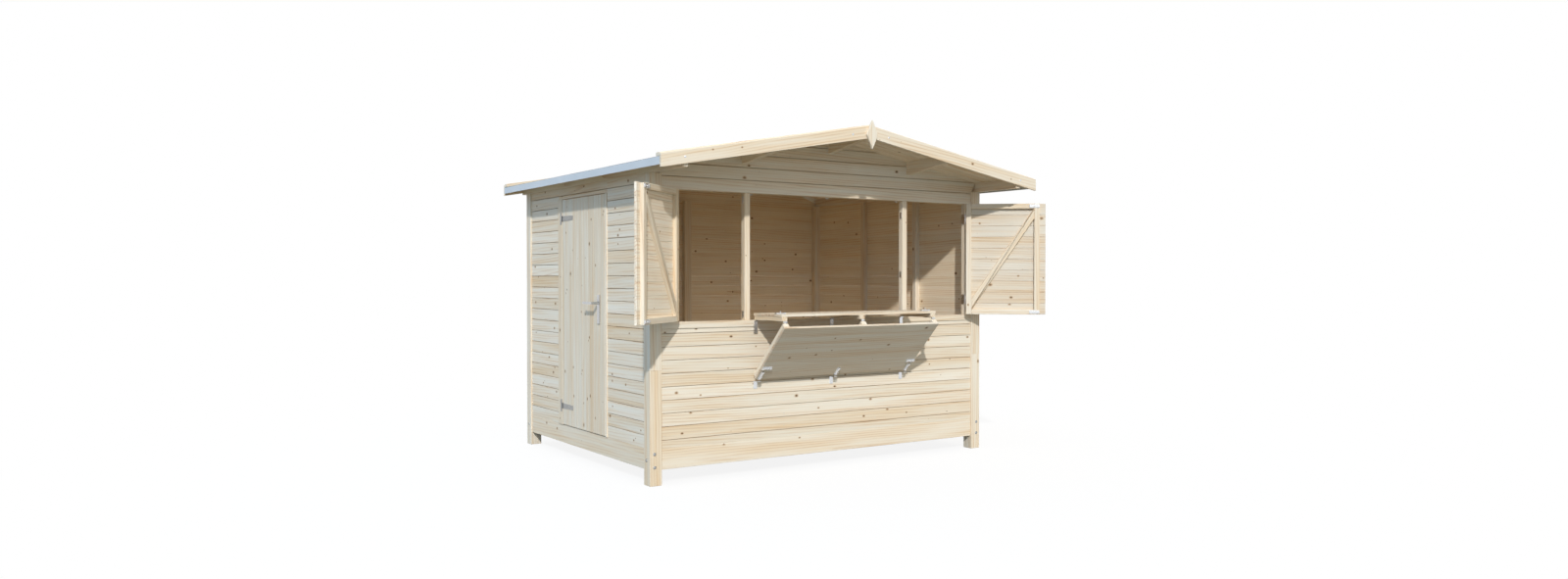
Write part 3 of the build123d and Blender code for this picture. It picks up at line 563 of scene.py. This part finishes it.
def shaped(cad_node, body, slot, material, through, grain=None):
    """Timbers with a cut outline in place of a CAD node's prisms."""
    pile = WoodPile(spread=0.012)
    for points in solids(cad_node):
        pile.prism(points, through, bpy.context.scene.stall_sizes.arris, grain)
    pile.finish(cad_node + "_planed", body, slot, material, [cad_node])


def heads(name, spots, facings, radius, rise, material, body="cabin"):
    """Round heads on spots, each along its facing: the rim is a straight third of the rise, and over it the
    height grows with the sine, and the radius shrinks with the cosine, of a quarter turn."""
    spots, facings = np.array(spots, float), np.array(facings, float)
    side = np.cross(facings, np.where(np.abs(facings[:, 2:]) > 0.9, along_x, up))
    other = np.cross(facings, side)
    around, sunk = 16, 0.0006
    turn = np.arange(around) / around * 2 * math.pi
    tilt = np.array([0, 0, 0.35, 0.7, 0.93]) * math.pi / 2
    lift = np.concatenate([[-sunk], rise * (1 + 2 * np.sin(tilt[1:])) / 3])
    ring = np.cos(turn)[:, None] * side[:, None] + np.sin(turn)[:, None] * other[:, None]
    points = (spots[:, None, None] + radius * np.cos(tilt)[:, None, None] * ring[:, None]
              + lift[:, None, None] * facings[:, None, None])
    size = points.shape[1] * points.shape[2]
    faces = sum((carried(head, size * place) for place, head in enumerate(points)), [])
    add_piece(name, body, "zinc_steel", material, points.reshape(-1, 3), faces, smooth=True)


def plates(name, spots, facings, height, width, thickness):
    """Upright sheet-metal plates on spots, each facing a level way. The outline is a rectangle with its
    corners turned in quarter circles; it runs straight through two thirds of the thickness and draws in by
    the last third."""
    corner, sunk = width / 6, 0.0005
    turn = ((np.arange(4)[:, None] + np.linspace(0, 1, 5)) * math.pi / 2).ravel()
    ways = np.stack([np.cos(turn), np.sin(turn)], axis=1)
    quarter = np.repeat([(1, 1), (-1, 1), (-1, -1), (1, -1)], 5, axis=0)
    middle = quarter * (width / 2 - corner, height / 2 - corner)
    insets, lifts = (0, 0, thickness / 3), (-sunk, thickness * 2 / 3, thickness)
    outlines = [middle + (corner - inset) * ways for inset in insets]
    points, faces = [], []
    for spot, facing in zip(np.array(spots, float), np.array(facings, float)):
        axes = np.array([np.cross(up, facing), up])
        rings = np.stack([spot + outline @ axes + lift * facing for outline, lift in zip(outlines, lifts)])
        faces += carried(rings, sum(map(len, points)))
        points.append(rings.reshape(-1, 3))
    add_piece(name, "cabin", "zinc_steel", zinc_plate(), np.concatenate(points), faces)


def staples(name, spots, radius, wire):
    """Wire staples that hang below spots: a circle of the wire's radius is carried round half a turn from
    one leg to the other, and its ends run straight up into the timber."""
    turn, around = np.linspace(0, math.pi, 13), np.arange(8) / 8 * 2 * math.pi
    leg = 0.004 * up
    bend = np.stack([np.cos(turn), 0 * turn, -np.sin(turn)], axis=1)
    outward = (radius + wire * np.cos(around))[None, :, None] * bend[:, None]
    tube = outward + (wire * np.sin(around))[:, None] * along_y
    rings = np.concatenate([tube[:1] + leg, tube, tube[-1:] + leg])
    rings = rings if faces_out(rings[:8]) else rings[:, ::-1]
    points = [(rings + spot).reshape(-1, 3) for spot in np.array(spots)]
    faces = sum((carried(rings, place * len(points[0])) for place in range(len(points))), [])
    add_piece(name, "cabin", "zinc_steel", zinc_plate(), np.concatenate(points), faces, smooth=True)


class STALL_OT_cladding(bpy.types.Operator):
    """Clad the four walls with boards and nail them"""

    bl_idname = "stall.cladding"
    bl_label = "Wall boards"

    def execute(self, context):
        self.wood, self.nails, self.facings = spruce("cladding", 0.54), [], []
        base = span("base_beams")[1][2]
        sill_top = span("counter_sill")[1][2]
        gable_low, gable_high = span("front_gable")
        plate_low, plate_high = span("wall_plates")
        post_inner = span("front_wall")[1][0]
        fall = (gable_high[2] - plate_high[2]) / plate_high[0]
        top_course, ridge_half, front_nails = 0.076, 0.002, (-0.42, 0.42)
        stud_middles = [points.mean(axis=0).round(3) for points in solids("wall_studs")]
        back_studs = [x for x, y, z in stud_middles if x < post_inner]
        right_studs = sorted(y for x, y, z in stud_middles if x > post_inner)

        def under_roof(heights):
            """Both ends of a front or back board: between the posts, or from the wall plates up as wide as
            the gable, and no wider than the roof's slope allows."""
            straight = np.where(heights < plate_low[2], post_inner, gable_high[0])
            half = np.clip((gable_high[2] - heights) / fall, ridge_half, straight)
            return -half, half

        self.wall("front_wall", sill_top - top_course, under_roof, along_x, -along_y, front_nails)
        # The gable's boards are painted lighter and less peach: painted light on boards in the roof's shade
        self.wall("front_gable", gable_low[2], under_roof, along_x, -along_y, (), WoodPile(1.04, peach=0.15))
        self.wall("back_wall", base, under_roof, along_x, along_y, back_studs)
        for cad_node, out, studs in (
                ("left_wall_front", -along_x, ()), ("left_wall_back", -along_x, ()),
                ("left_wall_over_door", -along_x, ()), ("right_wall", along_x, right_studs)):
            ends = [corner[1] for corner in span(cad_node)]
            self.wall(cad_node, base, lambda heights: [np.full(len(heights), end) for end in ends],
                      along_y, out, studs)
        heads("cladding_nails", self.nails, self.facings, context.scene.stall_sizes.nail_head, rise=0.0007,
              material=zinc_plate())
        return {"FINISHED"}

    def wall(self, cad_node, anchor, reach, along, out, studs, pile=None):
        """One wall of boards that run along one way and face another, with a nail at each end and stud. A
        nail sits three tenths of the cover up its board."""
        low, high = span(cad_node)
        face, inner = max(low @ out, high @ out), min(low @ out, high @ out)
        pile = pile or WoodPile()
        axes = np.array([along, up, -out])
        courses = pile.clad(low[2], high[2], anchor, face - inner, reach, axes, face * out)
        pile.finish(cad_node + "_boards", "cabin", "wall_boards", self.wood, [cad_node])
        nail_up, nail_in, sunk = bpy.context.scene.stall_sizes.cover * 0.3, 0.022, 0.0006
        for course in courses:
            height = course + nail_up
            if low[2] < course and height + nail_up < high[2]:
                first, last = (ends[0] for ends in reach(np.array([height + nail_up])))
                for place in (first + nail_in, *studs, last - nail_in):
                    self.nails.append(place * along + height * up + (face - sunk) * out)
                    self.facings.append(out)


class STALL_OT_frame(bpy.types.Operator):
    """Make the posts, beams, sill, jambs, studs and purlins"""

    bl_idname = "stall.frame"
    bl_label = "Frame timbers"

    def execute(self, context):
        wood = spruce("timber", 0.32)
        for cad_node in ("corner_posts_lower", "corner_posts_upper", "base_beams", "floor_joists",
                         "counter_sill", "front_jambs", "front_mullions", "front_lintel", "door_posts",
                         "wall_studs"):
            squared(cad_node, "cabin", "frame_timber", wood)
        shaped("wall_plates", "cabin", "frame_timber", wood, along_y, along_y)
        for cad_node in ("ridge_purlin", "mid_purlins"):
            pile = WoodPile()
            for points in solids(cad_node):
                pile.purlin(points, context.scene.stall_sizes.arris)
            pile.finish(cad_node + "_planed", "cabin", "frame_timber", wood, [cad_node])
        return {"FINISHED"}


class STALL_OT_floor(bpy.types.Operator):
    """Lay the floor boards over the joists"""

    bl_idname = "stall.floor"
    bl_label = "Floor boards"

    def execute(self, context):
        sizes = context.scene.stall_sizes
        low, high = span("floor")
        post_inner = span("front_wall")[1][0]
        post_back, post_front = span("left_wall_front")[0][1], span("left_wall_back")[1][1]
        count = round((high[1] - low[1]) / sizes.floor_board)
        cover = (high[1] - low[1]) / count
        pile = WoodPile()
        for start in low[1] + cover * np.arange(count):
            beside_posts = start < post_back or start + cover > post_front
            half = post_inner if beside_posts else high[0]
            board = corners_of((-half, start, low[2]), (half, start + cover, high[2]))
            # Painted light, a lift of one, brightens the floor boards in the dim inside
            pile.box(board, sizes.fine_joint, painted_lift=1.0)
        pile.finish("floor_boards_laid", "cabin", "floor_boards", spruce("floor", 0.5), ["floor"])
        return {"FINISHED"}


class STALL_OT_roof(bpy.types.Operator):
    """Lay the roof boards, felt, eave trims, laths, bargeboards and finials"""

    bl_idname = "stall.roof"
    bl_label = "Roof"

    def execute(self, context):
        felt, trim = mineral_felt(), spruce("trim", 0.32)
        thickness = 0.018
        for side, way in (("left", -1), ("right", 1)):
            low, high = span(f"roof_deck_{side}")
            eave = np.abs([low[0], high[0]]).max()
            fall = (high[2] - low[2] - thickness) / eave
            self.lay_boards(f"roof_boards_{side}", f"roof_deck_{side}", way, eave, fall, thickness)
            self.lay_felt(f"roof_felt_{side}", way, eave, fall, low[1], high[1], high[2], felt)
        for cad_node in ("roof_laths", "front_bargeboards", "back_bargeboards"):
            shaped(cad_node, "cabin", "trim_timber", trim, along_y)
        shaped("finials", "cabin", "trim_timber", trim, along_y, up)
        finish_nodes(coated_sheet(), "eave_trims")
        return {"FINISHED"}

    def lay_boards(self, name, cad_node, way, eave, fall, thickness):
        """Boards side by side along the ridge: a strip with its lower edges chamfered is carried down the
        slope from the ridge to the eave."""
        low, high = span(cad_node)
        sizes = bpy.context.scene.stall_sizes
        count = round((high[1] - low[1]) / sizes.roof_board)
        cover, chamfer = (high[1] - low[1]) / count, sizes.roof_joint
        strip = np.array([(0, 0), (cover, 0), (cover, thickness - chamfer), (cover - chamfer, thickness),
                          (chamfer, thickness), (0, thickness - chamfer)])
        # Painted shade darkens the chamfered lower edges where two roof boards meet
        painted_groove_shade = np.array([1, 1, 0.62, 1, 1, 0.62])
        axes = np.array([(way, 0, -fall), along_y, -up])
        pile = WoodPile()
        for board in range(count):
            section = strip + (low[1] + board * cover, 0)
            rings = np.stack([np.insert(section, 0, reach, axis=1) for reach in (0, eave)])
            # Painted light, a lift of 0.6, brightens the boards, whose undersides show under the eaves and
            # inside
            pile.lay(rings, axes, (0, 0, high[2]), painted_groove_shade, painted_lift=0.6)
        pile.finish(name, "cabin", "roof_boards", spruce("roof", 0.42), [cad_node])

    def lay_felt(self, cad_node, way, eave, fall, front, back, ridge, material):
        """Felt in two lapped lengths under a ridge strip, on a grid: its height over the deck is stepped
        with the distance from the ridge, less a shallow ripple of two crossed sine waves."""
        away = np.array([0, 0.16, 0.163, 0.50, 0.80, 0.84, 0.92, 0.923, 1.25, eave])
        rise = np.array([3.9, 3.9, 2.2, 2.1, 2.2, 3.7, 3.7, 2.2, 2.1, 2.2]) / 1000
        ripple_height = 0.0003
        x, y = np.meshgrid(away, np.linspace(front, back, 61))
        ripple = ripple_height * (1 + np.sin(7.3 * y + 3 * x) * np.sin(5.1 * x + 1.7 * y))
        deck = ridge - fall * x
        top = np.stack([way * x, y, deck + rise - ripple], axis=-1)
        under = np.stack([way * x, y, deck], axis=-1)
        rings = np.concatenate([top, under[:, ::-1]], axis=1)
        rings = rings if faces_out(rings) else rings[:, ::-1]
        add_piece(cad_node + "_lengths", "cabin", "roof_felt", material, rings.reshape(-1, 3), carried(rings),
                  [cad_node])


class STALL_OT_door(bpy.types.Operator):
    """Make the ledged and braced door"""

    bl_idname = "stall.door"
    bl_label = "Door"

    def execute(self, context):
        wood = spruce("joinery", 0.60)
        pile = WoodPile(tone=0.96, spread=0.022)
        pile.planks(corners_of(*span("door_leaf")), count=8, joint=context.scene.stall_sizes.joint)
        pile.finish("door_leaf_boards", "door", "door_boards", wood, ["door_leaf"])
        squared("door_ledges", "door", "door_boards", wood)
        shaped("door_braces", "door", "door_boards", wood, along_x)
        return {"FINISHED"}


class STALL_OT_shutters(bpy.types.Operator):
    """Make the two side-hung shutters"""

    bl_idname = "stall.shutters"
    bl_label = "Side shutters"

    def execute(self, context):
        wood = spruce("joinery", 0.60)
        joint = context.scene.stall_sizes.joint
        # Painted light makes the left shutter's boards lighter, and painted shade the right one's darker and
        # duller
        for body, tone, painted_lift in (("left_shutter", 1.14, 0.0), ("right_shutter", 0.92, -0.6)):
            slab = solids(f"{body}_boards")[0]
            pile = WoodPile(tone, spread=0.010, peach=0.25)
            pile.planks(slab, count=10, joint=joint, turned=True, painted_lift=painted_lift)
            pile.finish(f"{body}_cladding", body, "shutter_boards", wood, [f"{body}_boards"])
            facing = unit(box_axes(slab)[1][2])
            shaped(f"{body}_frame", body, "shutter_boards", wood, facing)
        return {"FINISHED"}


class STALL_OT_counter(bpy.types.Operator):
    """Make the folding counter and its brace leaf"""

    bl_idname = "stall.counter"
    bl_label = "Folding counter"

    def execute(self, context):
        wood = spruce("joinery", 0.60)
        joint = context.scene.stall_sizes.fine_joint
        # Painted shade makes the brace leaf's boards darker and duller, as its downward face lies in shade
        for slab, body, count, tone, painted_lift in (("counter_top", "counter", 4, 0.99, 0.0),
                                               ("brace_boards", "brace", 6, 0.92, -0.6)):
            pile = WoodPile(tone, spread=0.006, peach=0.12)
            pile.planks(solids(slab)[0], count, joint, painted_lift=painted_lift)
            pile.finish(slab + "_laid", body, "counter_boards", wood, [slab])
        squared("counter_battens", "counter", "counter_boards", wood)
        squared("brace_battens", "brace", "counter_boards", wood)
        return {"FINISHED"}


class STALL_OT_fittings(bpy.types.Operator):
    """Finish the hinges, bolts, catches and door handle"""

    bl_idname = "stall.fittings"
    bl_label = "Fittings"

    def execute(self, context):
        finish_nodes(zinc_plate(), "shutter_hinge_plates", "counter_hinge_plates", "brace_catches",
                     "left_shutter_fittings", "right_shutter_fittings", "counter_fittings", "brace_fittings")
        finish_nodes(dipped_steel(), "door_hinge_plates", "door_hinge_straps")
        finish_nodes(brushed_steel(), "handle_plates", "door_lever")
        self.hinge_leaves()
        self.strike_plates()
        self.strap_screws(context.scene.stall_sizes.strap_screw)
        low, high = span("front_lintel")
        places, depth = (-0.67, 0, 0.67), (low[1] + high[1]) / 2 + 0.006
        staples("lintel_staples", [(x, depth, low[2]) for x in places], radius=0.011, wire=0.0022)
        return {"FINISHED"}

    def hinge_leaves(self):
        """Fixed leaves of the shutters' hinges, on the inner faces of the jambs."""
        low, high = span("front_jambs")
        inner = min(np.abs(points[:, 0]).min() for points in solids("front_jambs"))
        heights = sorted({round(points[:, 2].mean(), 3) for points in solids("shutter_hinge_plates")})
        depth = (low[1] + high[1]) / 2
        spots = [(side * inner, depth, z) for side in (-1, 1) for z in heights]
        facings = [-side * along_x for side in (-1, 1) for z in heights]
        plates("shutter_hinge_leaves", spots, facings, height=0.080, width=0.038, thickness=0.0025)

    def strike_plates(self):
        """Plates that take the shutters' bolts, two on the left face of each mullion."""
        low, high = span("front_mullions")
        left_faces = sorted(points[:, 0].min() for points in solids("front_mullions"))
        heights = ((1.135, 1.945), (1.420, 1.880))
        depth = (low[1] + high[1]) / 2
        spots = [(face, depth, z) for face, pair in zip(left_faces, heights) for z in pair]
        plates("strike_plates", spots, [-along_x] * len(spots), height=0.050, width=0.022, thickness=0.0015)

    def strap_screws(self, radius):
        """Three screws in each strap of the door's hinges, counted from its tip."""
        spots, from_tip = [], (0.018, 0.080, 0.142)
        for points in solids("door_hinge_straps"):
            tip = points[np.isclose(points[:, 1], points[:, 1].min())]
            face, middle = tip[:, 0].min(), tip[:, 2].mean()
            spots += [(face, tip[0, 1] + inward, middle) for inward in from_tip]
        heads("door_strap_screws", spots, [-along_x] * len(spots), radius, rise=0.0015,
              material=dipped_steel(), body="door")


class STALL_OT_fasteners(bpy.types.Operator):
    """Set the posts' carriage bolts and the bargeboards' screws"""

    bl_idname = "stall.fasteners"
    bl_label = "Bolts and screws"

    def execute(self, context):
        sizes = context.scene.stall_sizes
        low, high = span("corner_posts_lower")
        bolt_heights, side_height = (0.125, 0.215), 0.170
        from_side, from_end = 0.035, 0.050
        spots, facings = [], []
        for side, x in ((-1, low[0]), (1, high[0])):
            for end, y in ((-1, low[1]), (1, high[1])):
                spots += [(x - side * from_side, y, z) for z in bolt_heights]
                spots.append((x, y - end * from_end, side_height))
                facings += [end * along_y, end * along_y, side * along_x]
        heads("carriage_bolts", spots, facings, sizes.bolt_head, rise=0.0050, material=dipped_steel())

        spots, facings, screw_shares = [], [], (0.097, 0.897)
        for cad_node, out in (("front_bargeboards", -along_y), ("back_bargeboards", along_y)):
            for points in solids(cad_node):
                away = np.abs(points[:, 0])
                face = points[np.argmax(points @ out)] @ out * out
                ridge, eave = (points[np.isclose(away, end)].mean(axis=0) for end in (away.min(), away.max()))
                for share in screw_shares:
                    spot = ridge + share * (eave - ridge)
                    spots.append(face + (spot[0], 0, spot[2]))
                    facings.append(out)
        heads("bargeboard_screws", spots, facings, sizes.screw_head, rise=0.0022, material=zinc_plate())
        return {"FINISHED"}


class STALL_OT_stage(bpy.types.Operator):
    """Set the floor, lights and camera"""

    bl_idname = "stall.stage"
    bl_label = "Studio stage"

    def execute(self, context):
        stage = context.scene.stall_stage
        self.floor(context)
        self.world(context, stage.fill)

        shines = Vector((0.60, 1.0, -0.75))
        lamp = bpy.data.lights.new("key_light", "SUN")
        lamp.energy = stage.key
        lamp.angle = math.radians(1.6)
        lamp.color = linear("#FFFDFA")
        key = bpy.data.objects.new("key_light", lamp)
        context.scene.collection.objects.link(key)
        key.rotation_euler = shines.to_track_quat("-Z", "Y").to_euler()

        photo_width, pixels_up = 1600, 1.2
        tilt_down, turned_right = 0.699, 33.737
        camera = bpy.data.objects.new("photo_view", bpy.data.cameras.new("photo_view"))
        context.scene.collection.objects.link(camera)
        camera.location = (-4.7303, -7.4127, 1.3957)
        camera.rotation_euler = (math.radians(90 - tilt_down), 0, math.radians(-turned_right))
        camera.data.lens = stage.focal
        camera.data.shift_y = pixels_up / photo_width
        context.scene.camera = camera
        context.scene.view_settings.view_transform = "Standard"
        return {"FINISHED"}

    def seen_white(self, add):
        """One where a surface is seen by the camera or in a reflection, and zero where it only sends light
        on."""
        ray = add("LightPath")
        mirrored = add("Math", {0: ray["Is Glossy Ray"], 1: ray["Is Transmission Ray"]},
                       operation="MAXIMUM")[0]
        return add("Math", {0: ray["Is Camera Ray"], 1: mirrored}, operation="MAXIMUM")[0]

    def floor(self, context):
        """A matt painted floor: white to the eye with a soft shadow near the stall, pale grey in the light
        it sends back, and pure white further out so that it has no edge."""
        material, add = new_material("matt_painted_floor")
        grey, paper = opaque(linear("#76766C")), opaque(linear("#FAFAFA"))
        seen = self.seen_white(add)
        where = add("TexCoord")["Object"]
        away = add("VectorMath", {0: where}, operation="LENGTH")["Value"]
        glow = add("MapRange", {0: away, 1: 2.0, 2: 5.5, 3: 0.88, 4: 1.0}, interpolation_type="SMOOTHSTEP")[0]
        share = add("Math", {0: seen, 1: glow}, operation="MULTIPLY")[0]
        paint = add("Mix", {0: seen, 6: grey, 7: paper}, data_type="RGBA")[2]
        matt = add("BsdfDiffuse", {"Color": paint})[0]
        white = add("Emission", {"Color": (1, 1, 1, 1), "Strength": 1.0})[0]
        blend = add("MixShader", {0: share, 1: matt, 2: white})[0]
        add("OutputMaterial", {"Surface": blend})
        reach = 120.0
        mesh = bpy.data.meshes.new("studio_floor")
        mesh.from_pydata([(-reach, -reach, 0), (reach, -reach, 0), (reach, reach, 0), (-reach, reach, 0)],
                         [], [(0, 1, 2, 3)])
        mesh.materials.append(material)
        floor = bpy.data.objects.new("studio_floor", mesh)
        context.scene.collection.objects.link(floor)

    def world(self, context, fill):
        """Soft light from all round, cool from the left and neutral elsewhere, seen as plain white."""
        context.scene.world = bpy.data.worlds.new("soft_studio_light")
        context.scene.world.use_nodes = True
        context.scene.world.node_tree.nodes.clear()
        add = functools.partial(add_node, context.scene.world.node_tree)
        cool, neutral = opaque(linear("#AAC8E7")), opaque(linear("#C8C1B3"))
        way = add("TexCoord")["Generated"]
        rightward = add("SeparateXYZ", {0: way})[0]
        turn = add("MapRange", {0: rightward, 1: -0.7, 2: 0.3})[0]
        tint = add("Mix", {0: turn, 6: cool, 7: neutral}, data_type="RGBA")[2]
        soft = add("Background", {"Color": tint, "Strength": fill})[0]
        white = add("Background", {"Color": (1, 1, 1, 1), "Strength": 1.0})[0]
        blend = add("MixShader", {0: self.seen_white(add), 1: soft, 2: white})[0]
        add("OutputWorld", {"Surface": blend})


operators = (STALL_OT_cladding, STALL_OT_frame, STALL_OT_floor, STALL_OT_roof, STALL_OT_door,
             STALL_OT_shutters, STALL_OT_counter, STALL_OT_fittings, STALL_OT_fasteners, STALL_OT_stage)
settings_groups = {"stall_sizes": StallSizes, "stall_colours": StallColours, "stall_stage": StallStage}


class STALL_PT_sidebar(bpy.types.Panel):
    """Sizes, colours and steps of the stall"""

    bl_idname = "STALL_PT_sidebar"
    bl_label = "Market stall"
    bl_space_type = "VIEW_3D"
    bl_region_type = "UI"
    bl_category = "Stall"

    def draw(self, context):
        for key, group in settings_groups.items():
            for setting in group.__annotations__:
                self.layout.prop(getattr(context.scene, key), setting)
        for operator in operators:
            self.layout.operator(operator.bl_idname)


def register():
    for group in (*settings_groups.values(), *operators, STALL_PT_sidebar):
        bpy.utils.register_class(group)
    for key, group in settings_groups.items():
        setattr(bpy.types.Scene, key, bpy.props.PointerProperty(type=group))


def unregister():
    for key in settings_groups:
        delattr(bpy.types.Scene, key)
    for group in (STALL_PT_sidebar, *reversed(operators), *settings_groups.values()):
        bpy.utils.unregister_class(group)


def main():
    register()
    bpy.ops.stall.cladding()
    bpy.ops.stall.frame()
    bpy.ops.stall.floor()
    bpy.ops.stall.roof()
    bpy.ops.stall.door()
    bpy.ops.stall.shutters()
    bpy.ops.stall.counter()
    bpy.ops.stall.fittings()
    bpy.ops.stall.fasteners()
    bpy.ops.stall.stage()


if __name__ == "__main__":
    main()
